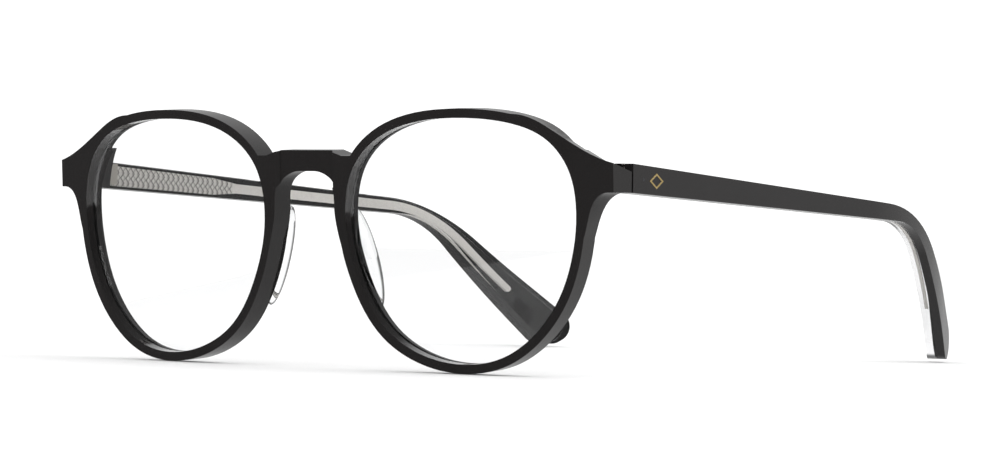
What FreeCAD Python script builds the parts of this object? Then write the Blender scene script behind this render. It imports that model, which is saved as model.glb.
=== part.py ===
import FreeCAD, Part
import math
import os

# Acetate eyeglasses with round crown-shaped rims, five millimetre high laminated temples and a
# three-knuckle hinge each side. Millimetres. +Z is up, the wearer looks along -Y and +X is the
# wearer's left. The glasses stand open on a table: the rims and the temple tips touch z = 0.

Vector = FreeCAD.Vector

# ---- driving dimensions -------------------------------------------------------------------

# front
eye_spacing = 70.0            # between the two lens centres
rim_width = 1.7               # seen from the front
rim_standing_height = 24.0    # lens centre above the table
front_tilt = 3.5              # degrees, the rims lean back at the bottom
front_bow = 385.0             # radius of the front surface, seen from above
front_thickness = 4.6

# half opening of a rim about the lens centre, x towards the temple, z up
opening_points = [
    (23.4, 0.0), (23.8, 6.4), (22.4, 12.9), (18.2, 18.15), (10.5, 21.2), (0.0, 22.15),
    (-10.5, 21.2), (-18.2, 18.2), (-23.2, 13.3), (-25.2, 6.7), (-24.9, 0.0), (-23.0, -6.3),
    (-16.6, -16.3), (-8.5, -20.9), (0.0, -22.35), (8.5, -20.9), (15.9, -15.8), (21.0, -8.3),
]

# bridge
bridge_top = 16.3             # above the lens centres
bridge_bottom = 12.4
bridge_flat = 2.0             # half length of the straight underside
bridge_crest = 6.0            # half length of the straight top
bridge_shoulder = 3.0         # length of the slope from the top's end to the rim
bridge_shoulder_fall = 1.0
bridge_overlap = 20.0         # from a lens centre to the end of what runs into its rim
bridge_recess = 1.0           # how far its front lies behind the rims
bridge_recess_edge = 0.15     # its sides stand this far inside the nose gap's
bridge_recess_slope = 0.6     # how far the recess narrows towards its floor
nose_gap_reach = 27.85        # from a lens centre to the nose gap at its narrowest

# side of the nose gap: outwards from its narrowest half width, above the lens centres
nose_flank_points = [
    (2.75, -4.5), (1.45, -1.2), (0.45, 2.4), (0.0, 5.4), (-0.1, 8.2), (-0.8, 10.2), (-2.6, 11.7),
]

# end pieces
hinge_plane = 10.9            # middle of the gap between front and temple
hinge_gap = 0.45
end_piece_reach = 31.2        # from a lens centre to the outer face of end piece and temple
side_top = 38.35              # above the table
side_height = 5.2
block_width = 8.0             # width of the end piece's back face, up to the rim opening
block_ramp = 4.0              # length of the slope from its inner edge to the rim's back
block_rise = 2.4              # its top, above the temple's
end_top_fall = 0.25           # slope of the end piece's top edge towards the back

# top edge of the end piece: from the lens centre, above the temple's top
end_top_points = [(11.0, 8.6), (15.8, 7.6), (20.0, 5.35), (25.2, 2.35)]

# lower edge of the end piece: inside its outer face, below the temple's bottom, and how much of
# the bend of the sheet its wall follows
end_under_points = [(1.2, 0.0, 0.0), (3.2, 0.9, 0.0), (4.5, 2.9, 0.5), (6.2, 8.6, 1.0)]
end_overlap = 12.0            # from the lens centre to the end piece's edge inside the rim

# lens
lens_thickness = 1.5
lens_bow = 200.0
lens_set_back = 1.0           # vertex behind the front surface
groove_depth = 0.5
groove_clearance = 0.04

# nose pads
pad_half_length = 10.0
pad_half_depth = 2.9
pad_half_width = 1.9
pad_height = -3.2             # centre, from the lens centre
pad_lean = 16.0               # degrees, foot of the pad away from the nose
pad_splay = 22.0              # degrees, back of the pad away from the nose
pad_set_back = 5.7            # centre, behind the front's foremost point
pad_sections = 5              # each side of the middle
pad_reach = 24.4              # from a lens centre to the pad's centre

# temples
outer_layer = 1.9
inner_layer = 2.1
temple_top_fall = 0.067       # slope of the straight top edge
temple_bottom_fall = 0.045
bend_reach = 114.7            # corner of the top edge over the ear
bottom_bend_lead = 0.6        # the lower corner lies this far in front of it
tip_top_fall = 0.765
tip_bottom_fall = 0.99
tip_top_run = 35.8            # from the bend to the tip's corners
tip_bottom_run = 28.3
top_bend_radius = 46.0
bottom_bend_radius = 24.0
tip_back_radius = 3.4
tip_front_radius = 3.2
temple_toe_in = 0.016         # slope of the straight temple towards the head
inward_bend_lag = 2.3         # the temple turns towards the head this far behind the bend
tip_toe_in = 0.45
inward_bend_radius = 110.0

# core wire inside each temple
core_thickness = 0.8
core_cover = 0.35             # clear acetate between the core and the black layer
core_margin = 0.55            # acetate above and below the wide blade
core_start = 13.4
blade_end = 46.0
blade_point = 53.0
core_strip = 1.9
core_strip_end = 1.25
core_run = 19.8               # from the bend to the wire's end

# hinge
knuckle_radius = 1.2
knuckle_clearance = 0.2
knuckle_side_play = 0.05
outer_knuckle = 1.25
middle_knuckle = 1.45
leaf_thickness = 0.9
leaf_sink = 0.5               # of the temple's leaf into the acetate
front_leaf = 4.6
temple_leaf = 5.9
screw_radius = 0.45
screw_play = 0.05
screw_head_radius = 0.8
screw_head = 0.4
slot_width = 0.22
slot_depth = 0.2
rivet_radius = 0.3
rivet_reach = 3.6             # from the hinge plane to the rivet

# emblem
emblem_reach = 7.6            # from the hinge plane to its centre
emblem_half_length = 2.2
emblem_half_height = 1.4
emblem_line = 0.32            # width of the metal outline
emblem_depth = 0.35
emblem_proud = 0.08

# ---- worked out from these ----------------------------------------------------------------

far = 300.0                   # longer than any cut needs
wall_start = -5.0             # depths between which the rims' walls are drawn
wall_end = 20.0
back_bow = front_bow - front_thickness
eye_x = eye_spacing / 2
nose_gap_half_width = eye_x - nose_gap_reach
bridge_recess_half_width = nose_gap_half_width - bridge_recess_edge
side_plane = eye_x + end_piece_reach
block_inside = side_plane - block_width
pad_half_gap = eye_x - pad_reach
top_bend_reach = bend_reach
bottom_bend_reach = bend_reach - bottom_bend_lead
tip_top_reach = bend_reach + tip_top_run
tip_bottom_reach = bottom_bend_reach + tip_bottom_run + bottom_bend_lead
inward_bend_reach = bend_reach + inward_bend_lag
core_end_reach = bend_reach + core_run
temple_thickness = outer_layer + inner_layer
inner_plane = side_plane - temple_thickness
end_face = hinge_plane - hinge_gap / 2
temple_face = hinge_plane + hinge_gap / 2
axis_x = inner_plane - knuckle_radius - knuckle_clearance
axis_y = end_face + knuckle_radius + knuckle_clearance
side_bottom = side_top - side_height
hinge_height = 2 * outer_knuckle + middle_knuckle + 2 * knuckle_side_play
hinge_bottom = side_top - side_height / 2 - hinge_height / 2
hinge_top = hinge_bottom + hinge_height
middle_bottom = hinge_bottom + outer_knuckle + knuckle_side_play
middle_top = middle_bottom + middle_knuckle


# ---- shapes used again and again ----------------------------------------------------------

def closed_spline(points):
    """A smooth closed curve through points."""
    curve = Part.BSplineCurve()
    curve.interpolate(Points=points, PeriodicFlag=True)
    return curve


def open_spline(points):
    """A smooth open curve through points, as an edge."""
    curve = Part.BSplineCurve()
    curve.interpolate(Points=points)
    return curve.toShape()


def line(a, b):
    return Part.LineSegment(a, b).toShape()


def prism(edges, along):
    """The solid swept by the face inside edges."""
    return Part.Face(Part.Wire(edges)).extrude(along)


def box(x0, x1, y0, y1, z0, z1):
    return Part.makeBox(x1 - x0, y1 - y0, z1 - z0, Vector(x0, y0, z0))


def upright_rod(radius, z0, z1):
    """A rod on the hinge axis."""
    return Part.makeCylinder(radius, z1 - z0, Vector(axis_x, axis_y, z0))


def rounded_loop(corners):
    """Straight runs joined by tangent arcs; each corner is (point, radius)."""
    edges = []
    ends = []
    count = len(corners)
    for index, (corner, radius) in enumerate(corners):
        before = (corners[index - 1][0] - corner).normalize()
        after = (corners[(index + 1) % count][0] - corner).normalize()
        if radius == 0:
            ends.append((corner, corner))
            continue
        half = before.getAngle(after) / 2
        run = radius / math.tan(half)
        middle = (before + after).normalize() * (radius / math.sin(half) - radius)
        start = corner + before * run
        finish = corner + after * run
        edges.append(Part.Arc(start, corner + middle, finish).toShape())
        ends.append((start, finish))
    for index in range(count):
        start = ends[index][1]
        finish = ends[(index + 1) % count][0]
        edges.append(line(start, finish))
    return Part.sortEdges(edges)[0]


def mirrored(shape):
    """The same piece on the wearer's right."""
    return shape.mirror(Vector(0, 0, 0), Vector(1, 0, 0))


def tilted(shape):
    """From the rims' own plane to the standing position."""
    copy = shape.copy()
    copy.rotate(Vector(0, 0, 0), Vector(1, 0, 0), front_tilt)
    copy.translate(Vector(0, 0, rim_standing_height))
    return copy


# ---- front --------------------------------------------------------------------------------

def bent(point, depth):
    """Where a wall square to the bent sheet, through a front point, passes another depth."""
    fan = (front_bow - depth) / math.sqrt(front_bow ** 2 - point.x ** 2)
    return Vector(point.x * fan, depth, point.z)


def eye_points(grow):
    """The rim opening of the left eye on the front surface, moved outwards by grow."""
    points = [Vector(eye_x + x, 0, z) for x, z in opening_points]
    curve = closed_spline(points)
    moved = []
    for point in points:
        tangent = curve.tangent(curve.parameter(point))[0]
        normal = Vector(tangent.z, 0, -tangent.x)
        outward = point - Vector(eye_x, 0, 0)
        if normal.dot(outward) < 0:
            normal = -normal
        moved.append(point + normal * grow)
    return moved


def eye_prism(grow):
    """The rim opening through the whole sheet, with walls square to it."""
    loops = []
    for depth in (wall_start, wall_end):
        curve = closed_spline([bent(point, depth) for point in eye_points(grow)])
        loops.append(Part.Wire(curve.toShape()))
    return Part.makeLoft(loops, True, True)


def behind(bow, set_back):
    """Everything behind an upright cylinder surface whose foremost line is at set_back."""
    half = bow * 0.5
    depth = bow - math.sqrt(bow ** 2 - half ** 2)
    left = Vector(-half, set_back + depth, -far / 2)
    right = Vector(half, set_back + depth, -far / 2)
    nose = Vector(0, set_back, -far / 2)
    edges = [
        Part.Arc(left, nose, right).toShape(),
        line(right, right + Vector(0, far, 0)),
        line(right + Vector(0, far, 0), left + Vector(0, far, 0)),
        line(left + Vector(0, far, 0), left),
    ]
    return prism(edges, Vector(0, 0, far))


def bridge_prism():
    """The bridge seen from the front, running into both rims."""
    flank = [Vector(nose_gap_half_width + out, 0, up) for out, up in nose_flank_points]
    flank.append(Vector(bridge_flat, 0, bridge_bottom))
    shoulder_top = bridge_top - bridge_shoulder_fall
    inside = eye_x - bridge_overlap
    half = [
        Vector(bridge_crest, 0, bridge_top),
        Vector(bridge_crest + bridge_shoulder, 0, shoulder_top),
        Vector(inside, 0, shoulder_top),
        Vector(inside, 0, flank[0].z),
        flank[0],
    ]
    edges = []
    for side in (1, -1):
        run = [Vector(p.x * side, -far / 2, p.z) for p in half]
        edges += [line(a, b) for a, b in zip(run, run[1:])]
        edges.append(open_spline([Vector(p.x * side, -far / 2, p.z) for p in flank]))
    for reach, level in ((bridge_crest, bridge_top), (bridge_flat, bridge_bottom)):
        edges.append(line(Vector(-reach, -far / 2, level), Vector(reach, -far / 2, level)))
    return prism(Part.sortEdges(edges)[0], Vector(0, far, 0))


def bridge_recess_cut():
    """The shallow flat that sets the bridge's front face back."""
    wide = bridge_recess_half_width
    narrow = wide - bridge_recess_slope
    slope = bridge_recess_slope / bridge_recess
    corners = [
        Vector(-narrow, bridge_recess, bridge_bottom - 3.0),
        Vector(narrow, bridge_recess, bridge_bottom - 3.0),
        Vector(wide + slope, -1.0, bridge_bottom - 3.0),
        Vector(-wide - slope, -1.0, bridge_bottom - 3.0),
    ]
    edges = [line(a, b) for a, b in zip(corners, corners[1:] + corners[:1])]
    return prism(edges, Vector(0, 0, far))


def end_piece():
    """The block that carries the left hinge, drawn upright and cut to the front's surfaces."""
    top = [Vector(eye_x + out, 0, side_top + up) for out, up in end_top_points]
    top.append(Vector(side_plane, 0, side_top))
    corner = Vector(side_plane, 0, side_bottom)
    loops = []
    for depth in (0.0, end_face):
        under = []
        for inside, down, follows in end_under_points:
            point = Vector(side_plane - inside, 0, side_bottom - down)
            under.append(point + (bent(point, depth) - point - Vector(0, depth, 0)) * follows)
        overlap = Vector(eye_x + end_overlap, 0, under[-1].z)
        edges = [
            open_spline(top),
            line(top[-1], corner),
            line(corner, under[0]),
            open_spline(under),
            line(under[-1], overlap),
            line(overlap, top[0]),
        ]
        loop = Part.Wire(Part.sortEdges(edges)[0])
        loop.translate(Vector(0, depth, 0))
        loops.append(loop)
    outline = Part.makeLoft(loops, True, True)
    lean = math.tan(math.radians(front_tilt))
    roof = []
    for point in top:
        bow_depth = front_bow - math.sqrt(front_bow ** 2 - point.x ** 2)
        front_y = bow_depth - lean * (point.z - rim_standing_height)
        roof.append(point + Vector(0, 0, end_top_fall * front_y))
    low_ends = [Vector(point.x, 0, 0) for point in (roof[-1], roof[0])]
    edges = [
        open_spline(roof),
        line(roof[-1], low_ends[0]),
        line(*low_ends),
        line(low_ends[1], roof[0]),
    ]
    outline = outline.common(prism(edges, Vector(0, end_face, -end_top_fall * end_face)))
    rear = tilted(behind(back_bow, front_thickness))
    plan = [
        Vector(side_plane, 0, side_bottom),
        Vector(side_plane, end_face, side_bottom),
        Vector(block_inside, end_face, side_bottom),
        Vector(block_inside - block_ramp, end_face - block_ramp / 2, side_bottom),
        Vector(block_inside - block_ramp, 0, side_bottom),
    ]
    block = prism([line(a, b) for a, b in zip(plan, plan[1:] + plan[:1])], Vector(0, 0, far))
    block = block.common(box(0, side_plane, 0, end_face, side_bottom, side_top + block_rise))
    return outline.cut(rear.cut(block))


def front_body():
    """Rims, bridge and end pieces as one piece of acetate, before grooves and pockets."""
    ahead = tilted(behind(front_bow, 0.0))
    slab = ahead.cut(tilted(behind(back_bow, front_thickness)))
    rim = tilted(eye_prism(rim_width))
    plan = rim.fuse(mirrored(rim)).fuse(tilted(bridge_prism()))
    body = plan.common(slab)
    block = end_piece().common(ahead)
    body = body.fuse(block).fuse(mirrored(block))
    opening = tilted(eye_prism(0.0))
    body = body.cut(opening).cut(mirrored(opening))
    return body.cut(tilted(bridge_recess_cut())).removeSplitter()


def lens_solid(play):
    """The left lens, play larger on every side for its groove."""
    turn = math.asin(eye_x / front_bow)
    depth = front_bow - math.sqrt(front_bow ** 2 - eye_x ** 2)
    vertex = Vector(eye_x, depth + lens_set_back, 0)
    centre = vertex + Vector(-math.sin(turn), math.cos(turn), 0) * lens_bow
    ball = Part.makeSphere(lens_bow + play, centre)
    hollow = Part.makeSphere(lens_bow - lens_thickness - play, centre)
    disc = eye_prism(groove_depth + play)
    window = box(0, eye_spacing, -10.0, 20.0, -far / 2, far / 2)
    return tilted(disc.common(window).common(ball).cut(hollow))


def nose_pad(front, lens_room):
    """A clear pad bonded to the back of the left rim's nose side, clear of the lens."""
    sections = []
    for step in range(-pad_sections, pad_sections + 1):
        share = step / (pad_sections + 0.2)
        size = math.sqrt(1.0 - share ** 2)
        ring = Part.Ellipse(Vector(0, 0, 0), pad_half_depth * size, pad_half_width * size).toShape()
        ring.rotate(Vector(0, 0, 0), Vector(0, 0, 1), 90)
        ring.translate(Vector(0, 0, pad_half_length * share))
        sections.append(Part.Wire(ring))
    pad = Part.makeLoft(sections, True)
    pad.rotate(Vector(0, 0, 0), Vector(0, 0, 1), -pad_splay)
    pad.rotate(Vector(0, 0, 0), Vector(0, 1, 0), -pad_lean)
    pad.translate(Vector(pad_half_gap, pad_set_back, pad_height))
    return tilted(pad).cut(front).cut(lens_room)


# ---- hinge --------------------------------------------------------------------------------

def hinge_pieces():
    """Front half, temple half and screw of the left hinge."""
    swing_radius = knuckle_radius + knuckle_clearance / 2
    levels = ((hinge_bottom, middle_bottom - knuckle_side_play),
              (middle_top + knuckle_side_play, hinge_top))

    leaf_inside = axis_x - knuckle_radius
    front = box(leaf_inside, leaf_inside + front_leaf, end_face - leaf_thickness, end_face,
                hinge_bottom, hinge_top)
    for low, high in levels:
        front = front.fuse(box(leaf_inside, axis_x, end_face, axis_y, low, high))
        front = front.fuse(upright_rod(knuckle_radius, low, high))
    front = front.cut(upright_rod(screw_radius, hinge_bottom, levels[0][1]))
    front = front.cut(upright_rod(screw_radius + screw_play, levels[1][0], hinge_top))

    leaf_back = inner_plane + leaf_sink
    leaf_face = leaf_back - leaf_thickness
    temple = box(leaf_face, leaf_back, temple_face, temple_face + temple_leaf, hinge_bottom, hinge_top)
    for low, high in levels:
        temple = temple.cut(upright_rod(swing_radius, low - knuckle_side_play, high + knuckle_side_play))
    temple = temple.fuse(box(axis_x, leaf_face, axis_y, axis_y + knuckle_radius, middle_bottom, middle_top))
    temple = temple.fuse(upright_rod(knuckle_radius, middle_bottom, middle_top))
    temple = temple.cut(upright_rod(screw_radius + screw_play, middle_bottom, middle_top))

    screw = upright_rod(screw_radius, hinge_bottom, hinge_top)
    screw = screw.fuse(upright_rod(screw_head_radius, hinge_top, hinge_top + screw_head))
    slot = box(axis_x - 2 * screw_head_radius, axis_x + 2 * screw_head_radius,
               axis_y - slot_width / 2, axis_y + slot_width / 2,
               hinge_top + screw_head - slot_depth, hinge_top + screw_head)
    return front.removeSplitter(), temple.removeSplitter(), screw.cut(slot).removeSplitter()


# ---- temple -------------------------------------------------------------------------------

def straight_top(y):
    return side_top - temple_top_fall * (y - temple_face)


def straight_bottom(y):
    return side_bottom - temple_bottom_fall * (y - temple_face)


def side_outline():
    """The temple seen from its side."""
    top_z = straight_top(top_bend_reach)
    bottom_z = straight_bottom(bottom_bend_reach)
    corners = [
        (Vector(0, temple_face, side_top), 0),
        (Vector(0, top_bend_reach, top_z), top_bend_radius),
        (Vector(0, tip_top_reach, top_z - tip_top_fall * (tip_top_reach - top_bend_reach)), tip_back_radius),
        (Vector(0, tip_bottom_reach, bottom_z - tip_bottom_fall * (tip_bottom_reach - bottom_bend_reach)),
         tip_front_radius),
        (Vector(0, bottom_bend_reach, bottom_z), bottom_bend_radius),
        (Vector(0, temple_face, side_bottom), 0),
    ]
    return prism(rounded_loop(corners), Vector(far, 0, 0))


def plan_band(outer, inner):
    """The temple seen from above, between two depths below its outer face."""
    bend = Vector(side_plane - temple_toe_in * (inward_bend_reach - temple_face), inward_bend_reach, 0)
    start = Vector(side_plane, temple_face, 0)
    finish = bend + Vector(-tip_toe_in, 1, 0) * (tip_top_reach + 10.0 - inward_bend_reach)
    first = (bend - start).normalize()
    second = (finish - bend).normalize()
    turn = first.getAngle(second)
    corners = []
    for depth in (outer, inner):
        side_a = Vector(-first.y, first.x, 0) * depth
        side_b = Vector(-second.y, second.x, 0) * depth
        middle = bend + (side_a + side_b) * 0.5 / math.cos(turn / 2) ** 2
        corners.append([(start - first * 5.0 + side_a, 0), (middle, inward_bend_radius - depth),
                        (finish + side_b, 0)])
    loop = corners[0] + corners[1][::-1]
    band = prism(rounded_loop(loop), Vector(0, 0, far))
    band.translate(Vector(0, 0, -far / 2))
    return band


def core_outline():
    """The blade and the wire behind it, seen from the side."""
    def middle(y):
        return (straight_top(y) + straight_bottom(y)) / 2

    half = core_strip / 2
    blade = [
        Vector(0, core_start, straight_bottom(core_start) + core_margin),
        Vector(0, blade_end, straight_bottom(blade_end) + core_margin),
        Vector(0, blade_point, middle(blade_point) - half),
        Vector(0, blade_point, middle(blade_point) + half),
        Vector(0, blade_end, straight_top(blade_end) - core_margin),
        Vector(0, core_start, straight_top(core_start) - core_margin),
    ]
    wide = prism([line(a, b) for a, b in zip(blade, blade[1:] + blade[:1])], Vector(far, 0, 0))
    bend_y = (top_bend_reach + bottom_bend_reach) / 2
    bend_z = middle(bend_y)
    fall = (tip_top_fall + tip_bottom_fall) / 2
    start = Vector(0, blade_point - 0.5, middle(blade_point - 0.5))
    bend = Vector(0, bend_y, bend_z)
    finish = Vector(0, core_end_reach, bend_z - fall * (core_end_reach - bend_y))
    first = (bend - start).normalize()
    second = (finish - bend).normalize()
    turn = first.getAngle(second)
    radius = (top_bend_radius + bottom_bend_radius) / 2
    sides = []
    for offset in (half, -half):
        side_a = Vector(0, -first.z, first.y) * offset
        side_b = Vector(0, -second.z, second.y) * offset
        corner = bend + (side_a + side_b) * 0.5 / math.cos(turn / 2) ** 2
        end = finish + side_b * (core_strip_end / core_strip)
        sides.append([(start + side_a, 0), (corner, radius + offset), (end, core_strip_end * 0.45)])
    strip = prism(rounded_loop(sides[0] + sides[1][::-1]), Vector(far, 0, 0))
    return wide.fuse(strip)


def emblem():
    """A lozenge outline let into the outer face."""
    y = hinge_plane + emblem_reach
    z = (straight_top(y) + straight_bottom(y)) / 2
    slant = math.hypot(emblem_half_length, emblem_half_height)
    prisms = []
    for inset in (0.0, emblem_line):
        length = emblem_half_length - inset * slant / emblem_half_height
        height = emblem_half_height - inset * slant / emblem_half_length
        points = [
            Vector(0, y - length, z),
            Vector(0, y, z - height),
            Vector(0, y + length, z),
            Vector(0, y, z + height),
        ]
        edges = [line(a, b) for a, b in zip(points, points[1:] + points[:1])]
        prisms.append(prism(edges, Vector(far, 0, 0)))
    return prisms[0].cut(prisms[1]).common(plan_band(-emblem_proud, emblem_depth))


def temple_pieces(leaf):
    """Outer layer, inner layer, core, emblem and rivet of the left temple."""
    side = side_outline()
    outer = side.common(plan_band(0.0, outer_layer))
    inner = side.common(plan_band(outer_layer, temple_thickness))
    core_depth = outer_layer + core_cover
    core = core_outline().common(plan_band(core_depth, core_depth + core_thickness))
    rivet_y = hinge_plane + rivet_reach
    rivet_z = (straight_top(rivet_y) + straight_bottom(rivet_y)) / 2
    rivet = Part.makeCylinder(rivet_radius, far, Vector(inner_plane + leaf_sink, rivet_y, rivet_z),
                              Vector(1, 0, 0))
    rivet = rivet.common(plan_band(0.0, temple_thickness))
    badge = emblem()
    core = core.cut(rivet).cut(leaf)
    inner = inner.cut(core).cut(rivet).cut(leaf)
    outer = outer.cut(badge).cut(rivet)
    return outer, inner, core, badge, rivet


# ---- put together -------------------------------------------------------------------------

def whole_model():
    """Every node's shape by name."""
    body = front_body()
    groove = lens_solid(groove_clearance)
    pad = nose_pad(body, groove)
    front_half, temple_half, screw = hinge_pieces()
    outer, inner, core, badge, rivet = temple_pieces(temple_half)
    left = {
        "lens": lens_solid(0.0),
        "nose_pad": pad,
        "front_hinge": front_half,
        "temple_hinge": temple_half,
        "hinge_screw": screw,
        "temple_outer": outer,
        "temple_inner": inner,
        "core_wire": core,
        "temple_emblem": badge,
        "hinge_rivet": rivet,
    }
    frame = body
    for cutter in (groove, front_half):
        frame = frame.cut(cutter).cut(mirrored(cutter))
    shapes = {"front_frame": frame}
    for name, shape in left.items():
        shapes[name + "_left"] = shape
        shapes[name + "_right"] = mirrored(shape)
    return shapes


shapes = whole_model()
whole = Part.makeCompound(list(shapes.values()))
limits = whole.optimalBoundingBox(False, False)
middle_y = (limits.YMin + limits.YMax) / 2
lowest = limits.ZMin
os.makedirs("parts", exist_ok=True)
for name, shape in shapes.items():
    placed = shape.copy()
    placed.translate(Vector(0, -middle_y, -lowest))
    placed.exportStep("parts/" + name + ".step")
    print(name, placed.isValid(), len(placed.Solids), round(placed.Volume, 2))
print("box", limits)
print("shift", middle_y, lowest, "hinge axis", axis_x, axis_y - middle_y)
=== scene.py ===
import math

import bpy
from mathutils import Euler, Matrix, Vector


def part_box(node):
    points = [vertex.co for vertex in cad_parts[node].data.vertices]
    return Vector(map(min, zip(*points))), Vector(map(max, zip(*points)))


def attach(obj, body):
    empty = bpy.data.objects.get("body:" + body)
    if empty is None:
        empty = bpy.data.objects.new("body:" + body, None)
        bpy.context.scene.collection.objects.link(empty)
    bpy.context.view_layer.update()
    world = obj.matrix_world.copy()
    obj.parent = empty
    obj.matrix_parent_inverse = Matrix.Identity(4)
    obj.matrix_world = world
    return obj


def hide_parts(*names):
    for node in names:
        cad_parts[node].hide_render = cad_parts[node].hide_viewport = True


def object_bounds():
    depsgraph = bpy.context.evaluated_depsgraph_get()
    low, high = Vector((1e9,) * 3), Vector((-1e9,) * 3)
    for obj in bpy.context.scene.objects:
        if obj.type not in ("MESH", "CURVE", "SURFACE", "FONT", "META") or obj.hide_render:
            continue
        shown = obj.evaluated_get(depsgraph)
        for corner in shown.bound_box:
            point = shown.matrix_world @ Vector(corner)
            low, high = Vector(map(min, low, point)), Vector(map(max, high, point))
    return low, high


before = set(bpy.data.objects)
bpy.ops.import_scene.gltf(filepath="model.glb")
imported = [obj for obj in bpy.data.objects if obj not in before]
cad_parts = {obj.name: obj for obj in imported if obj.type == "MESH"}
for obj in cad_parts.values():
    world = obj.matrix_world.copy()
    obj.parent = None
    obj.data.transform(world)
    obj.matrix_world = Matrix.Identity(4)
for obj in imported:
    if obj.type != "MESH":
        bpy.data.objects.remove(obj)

cad_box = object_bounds()


# ---- camera --------------------------------------------------------------------------------
# A long lens a little above the table, in front and to the wearer's left, so that the left
# temple is the near one.
camera_data = bpy.data.cameras.new("camera")
camera_data.lens = 144.0
camera_data.sensor_width = 36.0
camera_data.clip_start = 0.05
camera_place = Vector((0.4740, -0.6427, 0.0286))
camera_turn = Euler([math.radians(angle) for angle in (89.80, -0.90, 36.99)])
camera = bpy.data.objects.new("camera", camera_data)
camera.location = camera_place
camera.rotation_euler = camera_turn
bpy.context.scene.collection.objects.link(camera)
bpy.context.scene.camera = camera


# ---- acetate front -------------------------------------------------------------------------
# Rims, keyhole bridge and end pieces are one piece of black cellulose acetate, milled from a
# bent sheet. The edges of its two faces are tumbled round and everything is polished; the lens
# grooves are left as the cutter made them.
class Signal:
    """A number that varies over a surface. Arithmetic on signals adds the nodes it needs."""

    def __init__(self, finish, socket):
        self.finish = finish
        self.socket = socket

    def maths(self, operation, *values):
        """A maths node on exactly these values."""
        return self.finish.node("ShaderNodeMath", {"operation": operation}, dict(enumerate(values)))

    def __add__(self, other):
        return self.maths("ADD", self, other)

    def __sub__(self, other):
        return self.maths("SUBTRACT", self, other)

    def __rsub__(self, other):
        return self.maths("SUBTRACT", other, self)

    def __mul__(self, other):
        return self.maths("MULTIPLY", self, other)

    __radd__ = __add__
    __rmul__ = __mul__

    def part(self):
        """What is left over after whole numbers."""
        return self.maths("FRACT", self)

    def part_of(self, length):
        """How far the signal is into its present step of a length, from 0 to 1."""
        return (self * (1.0 / length)).part()

    def line(self, share):
        """1 on a thin line where a fraction turns over, 0 elsewhere."""
        middle = self - 0.5
        return self.maths("ABSOLUTE", middle).ramp(0.5 - share, 0.5 - 0.3 * share)

    def largest(self, other):
        return self.maths("MAXIMUM", self, other)

    def over(self, level):
        """1 where the signal is above level, 0 elsewhere."""
        return self.maths("GREATER_THAN", self, level)

    def ramp(self, low, high):
        """0 below low, 1 above high and a soft rise between."""
        return self.finish.node("ShaderNodeMapRange", {"interpolation_type": "SMOOTHSTEP"},
                                {"Value": self, "From Min": low, "From Max": high})


class Nodes:
    """A node tree and the two ways in which it grows."""

    def __init__(self, tree):
        self.tree = tree

    def node(self, kind, settings, inputs, output=0):
        """A node with its settings made first and then its sockets filled."""
        made = self.tree.nodes.new(kind)
        for setting, value in settings.items():
            setattr(made, setting, value)
        for socket, value in inputs.items():
            self.feed(made.inputs[socket], value)
        return Signal(self, made.outputs[output])

    def feed(self, socket, value):
        if isinstance(value, Signal):
            self.tree.links.new(value.socket, socket)
        else:
            socket.default_value = value


class Finish(Nodes):
    """One material, built up from its surface shader."""

    def __init__(self, name, **settings):
        self.material = bpy.data.materials.new(name)
        self.material.use_nodes = True
        super().__init__(self.material.node_tree)
        self.shader = self.tree.nodes["Principled BSDF"]
        for socket, value in settings.items():
            self.shader.inputs[socket.replace("_", " ")].default_value = value

    def surface(self, socket, value):
        self.feed(self.shader.inputs[socket], value)

    def place(self):
        """Where a point of the surface is, in metres."""
        return self.node("ShaderNodeTexCoord", {}, {}, "Object")

    def grain(self, size, detail=2.0, at=None, squash=(1, 1, 1)):
        """Soft cloudy noise whose clouds are about size metres across."""
        scaled = self.node("ShaderNodeMapping", {}, {"Vector": at or self.place(), "Scale": squash})
        return self.node(
            "ShaderNodeTexNoise", {}, {"Vector": scaled, "Scale": 1.0 / size, "Detail": detail})

    def blend(self, share, first, second):
        """A colour between two others."""
        return self.node("ShaderNodeMix", {"data_type": "RGBA"}, {0: share, 6: first, 7: second}, 2)

    def bump(self, height, depth):
        """Relief depth metres high where height is 1."""
        raised = self.node("ShaderNodeBump", {}, {"Height": height, "Distance": depth, "Strength": 1.0})
        self.surface("Normal", raised)


def black_acetate():
    """Deep black with a trace of warmth, glossy, with soft marks of hand polishing."""
    finish = Finish("black_acetate", IOR=1.49)
    cloud = finish.grain(0.012)
    haze = finish.grain(0.0011, 4.0)
    finish.surface(
        "Base Color", finish.blend(cloud, (0.0075, 0.0066, 0.0066, 1), (0.0125, 0.0112, 0.0110, 1)))
    finish.surface("Roughness", 0.05 + 0.06 * cloud + 0.05 * haze)
    finish.bump(finish.grain(0.006, 1.0) + 0.05 * haze, 0.00001)
    return finish.material


def deselect():
    if bpy.context.object and bpy.context.object.mode != "OBJECT":
        bpy.ops.object.mode_set(mode="OBJECT")
    bpy.ops.object.select_all(action="DESELECT")


def blank(name, node):
    """A merged copy of a node's milled shape under a new name, active and back in object mode."""
    deselect()
    piece = bpy.data.objects.new(name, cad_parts[node].data.copy())
    bpy.context.scene.collection.objects.link(piece)
    piece.select_set(True)
    bpy.context.view_layer.objects.active = piece
    bpy.ops.object.mode_set(mode="EDIT")
    bpy.ops.mesh.select_mode(type="EDGE")
    bpy.ops.mesh.select_all(action="SELECT")
    bpy.ops.mesh.customdata_custom_splitnormals_clear()
    bpy.ops.mesh.remove_doubles(threshold=0.000002)
    bpy.ops.mesh.dissolve_limited(angle_limit=math.radians(0.05))
    bpy.ops.mesh.select_all(action="DESELECT")
    bpy.ops.object.mode_set(mode="OBJECT")
    return piece


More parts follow.
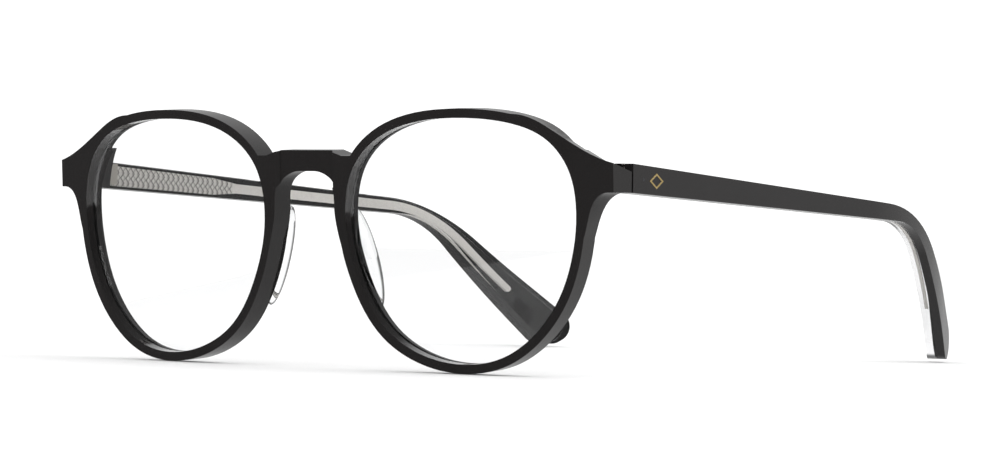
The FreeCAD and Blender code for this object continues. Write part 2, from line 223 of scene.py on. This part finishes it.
def round_edges(piece, chosen, width, steps=3, sharp=28.0):
    """Rounds the sharp edges for which chosen(first corner, second corner) holds."""
    mesh = piece.data
    turns = {}
    for face in mesh.polygons:
        for key in face.edge_keys:
            turns.setdefault(key, []).append(face.normal)
    for edge in mesh.edges:
        sides = turns.get(tuple(sorted(edge.vertices)), [])
        bent = len(sides) == 2 and sides[0].angle(sides[1], 0.0) > math.radians(sharp)
        ends = [mesh.vertices[i].co for i in edge.vertices]
        edge.select = bent and chosen(ends[0], ends[1])
    bpy.ops.object.mode_set(mode="EDIT")
    bpy.ops.mesh.bevel(offset=width, segments=steps, affect="EDGES", clamp_overlap=True)
    bpy.ops.mesh.select_all(action="DESELECT")
    bpy.ops.object.mode_set(mode="OBJECT")


def polish(piece, material, angle=30.0):
    """Smooth faces with crisp creases, in one material."""
    deselect()
    piece.select_set(True)
    bpy.context.view_layer.objects.active = piece
    bpy.ops.object.shade_smooth_by_angle(angle=math.radians(angle))
    even = piece.modifiers.new("even", "WEIGHTED_NORMAL")
    even.keep_sharp = True
    bpy.ops.object.modifier_apply(modifier=even.name)
    piece.data.materials.clear()
    piece.data.materials.append(material)


front_lean = math.radians(3.5)
lens_height = 0.0239
front_bow = 0.385
sheet_depth = 0.0046
bridge_step = 0.0010
bridge_half_width = 0.0070
bridge_foot = 0.008
surface_margin = 0.00004
front_edge_round = 0.00032
front_face = -0.073389


def sheet_place(point):
    """A point's depth behind the middle of the front and its height above the lens centres."""
    y = point.y - front_face
    z = point.z - lens_height
    depth = y * math.cos(front_lean) + z * math.sin(front_lean)
    height = z * math.cos(front_lean) - y * math.sin(front_lean)
    return (depth, height)


def on_sheet(point):
    """Whether a point lies on the front or back face of the acetate sheet, or on the bridge."""
    depth, height = sheet_place(point)
    ahead = depth - (front_bow - math.sqrt(front_bow ** 2 - point.x ** 2))
    back_bow = front_bow - sheet_depth
    behind = depth - sheet_depth - (back_bow - math.sqrt(back_bow ** 2 - point.x ** 2))
    in_bridge = abs(point.x) < bridge_half_width and height > bridge_foot
    sunk = in_bridge and abs(ahead - bridge_step) < surface_margin
    return abs(ahead) < surface_margin or abs(behind) < surface_margin or sunk


acetate = black_acetate()
front = blank("acetate_front", "front_frame")
round_edges(front, lambda a, b: on_sheet(a) and on_sheet(b), front_edge_round)
polish(front, acetate)
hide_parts("front_frame")
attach(front, "front")


# ---- demo lenses ---------------------------------------------------------------------------
# Clear moulded plastic lenses that opticians replace. Each is sprung into the groove of its
# rim, with a polished edge that shows as a thin line.
lens_plastic = Finish("lens_plastic", IOR=1.49, Transmission_Weight=1.0)
lens_smear = lens_plastic.grain(0.02)
lens_plastic.surface("Base Color", lens_plastic.blend(lens_smear, (0.985, 0.99, 0.995, 1), (1, 1, 1, 1)))
lens_plastic.surface("Roughness", 0.012 * lens_smear)
for side in ("left", "right"):
    lens = blank("demo_lens_" + side, "lens_" + side)
    polish(lens, lens_plastic.material, 35.0)
    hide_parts("lens_" + side)
    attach(lens, "front")


# ---- nose pads -----------------------------------------------------------------------------
# Two almond-shaped pads of clear crystal acetate, bonded with solvent to the backs of the
# rims and polished with them.
clear_acetate = Finish("clear_acetate", IOR=1.48, Transmission_Weight=1.0)
clear_cloud = clear_acetate.grain(0.004)
clear_acetate.surface(
    "Base Color", clear_acetate.blend(clear_cloud, (0.93, 0.94, 0.94, 1), (0.98, 0.98, 0.985, 1)))
clear_acetate.surface("Roughness", 0.02 + 0.04 * clear_cloud)
clear_acetate.bump(clear_acetate.grain(0.005, 1.0), 0.00001)
pad_half_size = (0.0019, 0.0023, 0.0098)
pad_place = (0.0106, -0.0675, 0.0206)
pad_lean = math.radians(17)
pad_splay = math.radians(22)
for side, sign in (("left", 1), ("right", -1)):
    deselect()
    bpy.ops.mesh.primitive_uv_sphere_add(segments=64, ring_count=48, radius=1.0)
    pad = bpy.context.object
    pad.name = "clear_nose_pad_" + side
    pad.scale = pad_half_size
    pad.rotation_mode = "ZYX"
    pad.rotation_euler = (front_lean, -pad_lean * sign, -pad_splay * sign)
    pad.location = (pad_place[0] * sign, pad_place[1], pad_place[2])
    bpy.ops.object.transform_apply()
    polish(pad, clear_acetate.material, 80.0)
    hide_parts("nose_pad_" + side)
    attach(pad, "front")


# ---- hinges and screws ---------------------------------------------------------------------
# Nickel silver hinges with three knuckles, each half on a leaf pressed hot into the acetate,
# and a slotted stainless screw that is the pin. The rivets in the temples are blackened.
hinge_metal = Finish("nickel_silver", Metallic=1.0)
hinge_marks = hinge_metal.grain(0.0006, 5.0, squash=(1, 1, 8))
hinge_metal.surface(
    "Base Color", hinge_metal.blend(hinge_marks, (0.44, 0.42, 0.38, 1), (0.62, 0.59, 0.54, 1)))
hinge_metal.surface("Roughness", 0.22 + 0.2 * hinge_marks)
hinge_metal.bump(hinge_marks, 0.00001)
screw_steel = Finish("stainless_steel", Metallic=1.0)
screw_marks = screw_steel.grain(0.0003, 4.0)
screw_steel.surface(
    "Base Color", screw_steel.blend(screw_marks, (0.5, 0.5, 0.51, 1), (0.72, 0.72, 0.73, 1)))
screw_steel.surface("Roughness", 0.15 + 0.2 * screw_marks)
rivet_steel = Finish("blackened_steel", Metallic=1.0)
rivet_marks = rivet_steel.grain(0.0002, 3.0)
rivet_steel.surface(
    "Base Color", rivet_steel.blend(rivet_marks, (0.05, 0.05, 0.055, 1), (0.14, 0.14, 0.15, 1)))
rivet_steel.surface("Roughness", 0.3 + 0.2 * rivet_marks)
for side in ("left", "right"):
    for node, metal in (("front_hinge_", hinge_metal), ("temple_hinge_", hinge_metal),
                        ("hinge_screw_", screw_steel), ("hinge_rivet_", rivet_steel)):
        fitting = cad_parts[node + side]
        fitting.data.materials.clear()
        fitting.data.materials.append(metal.material)


# ---- temples -------------------------------------------------------------------------------
# Each temple is two layers of acetate welded face to face, black outside and clear inside.
# The edges of the black layer's outer face are rounded behind the hinge. Its bonded face is
# matt, and the clear layer grows into it by weld_depth, so that no film of air shows between.
crystal = Finish("crystal_acetate", IOR=1.48, Transmission_Weight=1.0)
crystal_cloud = crystal.grain(0.006)
crystal.surface(
    "Base Color", crystal.blend(crystal_cloud, (0.83, 0.835, 0.84, 1), (0.91, 0.91, 0.915, 1)))
crystal.surface("Roughness", 0.02 + 0.03 * crystal_cloud)
crystal.bump(crystal.grain(0.005, 1.0), 0.00001)
weld_depth = 0.00002
outer_edge_round = 0.0005
hinge_end_margin = 0.0001
sideways = 0.7


def rounded_place(point):
    """A corner's place to the nearest micrometre, for comparing corners."""
    return tuple(round(c, 6) for c in point)


bonded = Finish("bonded_acetate", Roughness=0.6, Specular_IOR_Level=0.0)
bonded_cloud = bonded.grain(0.01)
bonded.surface(
    "Base Color", bonded.blend(bonded_cloud, (0.005, 0.0045, 0.0045, 1), (0.009, 0.008, 0.008, 1)))
for side, sign in (("left", 1), ("right", -1)):
    hinge_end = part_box("temple_outer_" + side)[0].y
    outer = blank("black_temple_layer_" + side, "temple_outer_" + side)
    skin = set()
    for face in outer.data.polygons:
        if face.normal.x * sign > sideways:
            skin.update(rounded_place(outer.data.vertices[i].co) for i in face.vertices)
    round_edges(outer, lambda a, b: rounded_place(a) in skin and rounded_place(b) in skin
                and max(a.y, b.y) > hinge_end + hinge_end_margin, outer_edge_round)
    polish(outer, acetate)
    outer.data.materials.append(bonded.material)
    for face in outer.data.polygons:
        face.material_index = int(face.normal.x * sign < -sideways)
    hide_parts("temple_outer_" + side)
    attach(outer, side + "_temple")

    inner = blank("clear_temple_layer_" + side, "temple_inner_" + side)
    bpy.ops.object.mode_set(mode="EDIT")
    bpy.ops.mesh.select_all(action="SELECT")
    bpy.ops.transform.shrink_fatten(value=weld_depth)
    bpy.ops.object.mode_set(mode="OBJECT")
    polish(inner, crystal.material)
    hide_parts("temple_inner_" + side)
    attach(inner, side + "_temple")


# ---- core wires ----------------------------------------------------------------------------
# A stamped nickel silver core is shot into each temple, in the clear layer. Its wide blade is
# engraved with crossing zigzag strokes that show through the acetate; each strand also carries a painted
# shade across its width.
core_metal = Finish("engraved_core", Metallic=0.3)
weave_pitch = 0.00145
row_height = 0.0010
line_share = 0.15
blade_tip = -0.0215
blade_fade = 0.001
blade_fall = 0.055
stroke_slant = 1.3
crossing_lag = 0.4
crossing_share = 0.6
along = core_metal.node("ShaderNodeSeparateXYZ", {}, {"Vector": core_metal.place()}, "Y")
up = core_metal.node("ShaderNodeSeparateXYZ", {}, {"Vector": core_metal.place()}, "Z")
from_row = (up + along * blade_fall).part_of(2 * row_height) - 0.5
zigzag = from_row.maths("ABSOLUTE", from_row) * stroke_slant
strand = (along * (1.0 / weave_pitch) + zigzag).part()
crossing = (along * (1.0 / weave_pitch) - zigzag + crossing_lag).part()
on_blade = 1.0 - along.ramp(blade_tip - blade_fade, blade_tip)
wear = core_metal.grain(0.0005, 4.0)
cut = strand.line(line_share).largest(crossing.line(line_share) * crossing_share) * on_blade
# The ramp across each strand is both a bump swell and a painted shade: it darkens the colour across the
# strand's width, as light would fall on a rounded strand.
swell_and_painted_shade = strand * on_blade
shade = (1.0 - cut) * (0.78 + 0.22 * wear) * (1.0 - 0.22 * swell_and_painted_shade)
core_metal.surface("Base Color", core_metal.blend(shade, (0.16, 0.15, 0.14, 1), (0.99, 0.96, 0.91, 1)))
core_metal.surface("Roughness", 0.44 + 0.15 * cut + 0.1 * wear)
core_metal.bump(0.6 * swell_and_painted_shade - cut + 0.2 * wear, 0.00006)
for side in ("left", "right"):
    core = blank("engraved_core_" + side, "core_wire_" + side)
    polish(core, core_metal.material)
    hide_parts("core_wire_" + side)
    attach(core, side + "_temple")


# ---- emblems -------------------------------------------------------------------------------
# A small plain gold lozenge is pressed into each temple's outer face, near the hinge.
gold = Finish("gold_emblem", Metallic=1.0)
gold_marks = gold.grain(0.0005, 3.0)
gold.surface("Base Color", gold.blend(gold_marks, (0.66, 0.47, 0.18, 1), (0.86, 0.68, 0.34, 1)))
gold.surface("Roughness", 0.18 + 0.15 * gold_marks)
for side in ("left", "right"):
    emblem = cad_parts["temple_emblem_" + side]
    emblem.data.materials.clear()
    emblem.data.materials.append(gold.material)


# ---- table and light -----------------------------------------------------------------------
# A sheet of white card on the table, turned square to the camera, in front of a white backdrop.
# The backdrop is what the camera sees and what lights dull surfaces. Polished faces mirror a
# weaker room, dim on the viewer's side, and clear pieces show a share of that room where they
# bend the view off the backdrop. One softbox stands at the left temple's side.
card_left = -0.125
card_right = 1.6
card_near = 0.62
card_far = 2.5
card_drop = 0.0001
deselect()
bpy.ops.mesh.primitive_plane_add(size=1.0)
card = bpy.context.object
card.name = "white_card"
card.scale = (card_right - card_left, card_near + card_far, 1)
heading = Euler((0, 0, camera_turn.z)).to_matrix()
middle = heading @ Vector(((card_right + card_left) / 2, (card_far - card_near) / 2, 0))
card.rotation_euler.z = camera_turn.z
card.location = (middle.x, middle.y, cad_box[0].z - card_drop)
bpy.ops.object.transform_apply()
card_finish = Finish("white_card", Base_Color=(0.92, 0.92, 0.92, 1), Roughness=0.9)
card.data.materials.append(card_finish.material)
card.visible_glossy = False

world = bpy.data.worlds.new("room")
bpy.context.scene.world = world
world.use_nodes = True
room = Nodes(world.node_tree)
toward = room.node("ShaderNodeTexCoord", {}, {}, "Generated")
across = room.node("ShaderNodeSeparateXYZ", {}, {"Vector": toward}, "X")
depth = room.node("ShaderNodeSeparateXYZ", {}, {"Vector": toward}, "Y")
rise = room.node("ShaderNodeSeparateXYZ", {}, {"Vector": toward}, "Z")
dim_wall = 0.20
white_wall = 0.52
wall_turn = (-0.5, 0.3)
ceiling = 0.25
ceiling_edge = (0.35, 0.75)
backdrop = 1.20
view_across = -0.6
view_depth = 0.8
view_cone = (0.70, 0.88)
side_share = 0.25
one_bounce = 0.5
light = dim_wall + (white_wall - dim_wall) * depth.ramp(*wall_turn) + ceiling * rise.ramp(*ceiling_edge)
mirror_ray = room.node("ShaderNodeLightPath", {}, {}, "Is Glossy Ray")
through_ray = room.node("ShaderNodeLightPath", {}, {}, "Is Transmission Ray")
behind_object = (depth * view_depth + across * view_across).ramp(*view_cone)
mirror_ray = mirror_ray * (1.0 - through_ray)
scattered = room.node("ShaderNodeLightPath", {}, {}, "Diffuse Depth").over(one_bounce)
through_ray = through_ray * (1.0 - behind_object.largest(scattered))
open_share = 1.0 - mirror_ray - through_ray
strength = open_share * backdrop + mirror_ray * light + through_ray * light * side_share
room.feed(room.tree.nodes["Background"].inputs["Strength"], strength)
room.feed(room.tree.nodes["Background"].inputs["Color"], (1, 1, 1, 1))

softbox = bpy.data.lights.new("softbox", "AREA")
softbox.size = 0.5
softbox.energy = 2.5
softbox_holder = bpy.data.objects.new("softbox", softbox)
softbox_holder.location = (0.8, 0.1, 0.6)
softbox_holder.rotation_euler = (-softbox_holder.location).to_track_quat("-Z", "Y").to_euler()
bpy.context.scene.collection.objects.link(softbox_holder)
bpy.context.scene.view_settings.view_transform = "Standard"
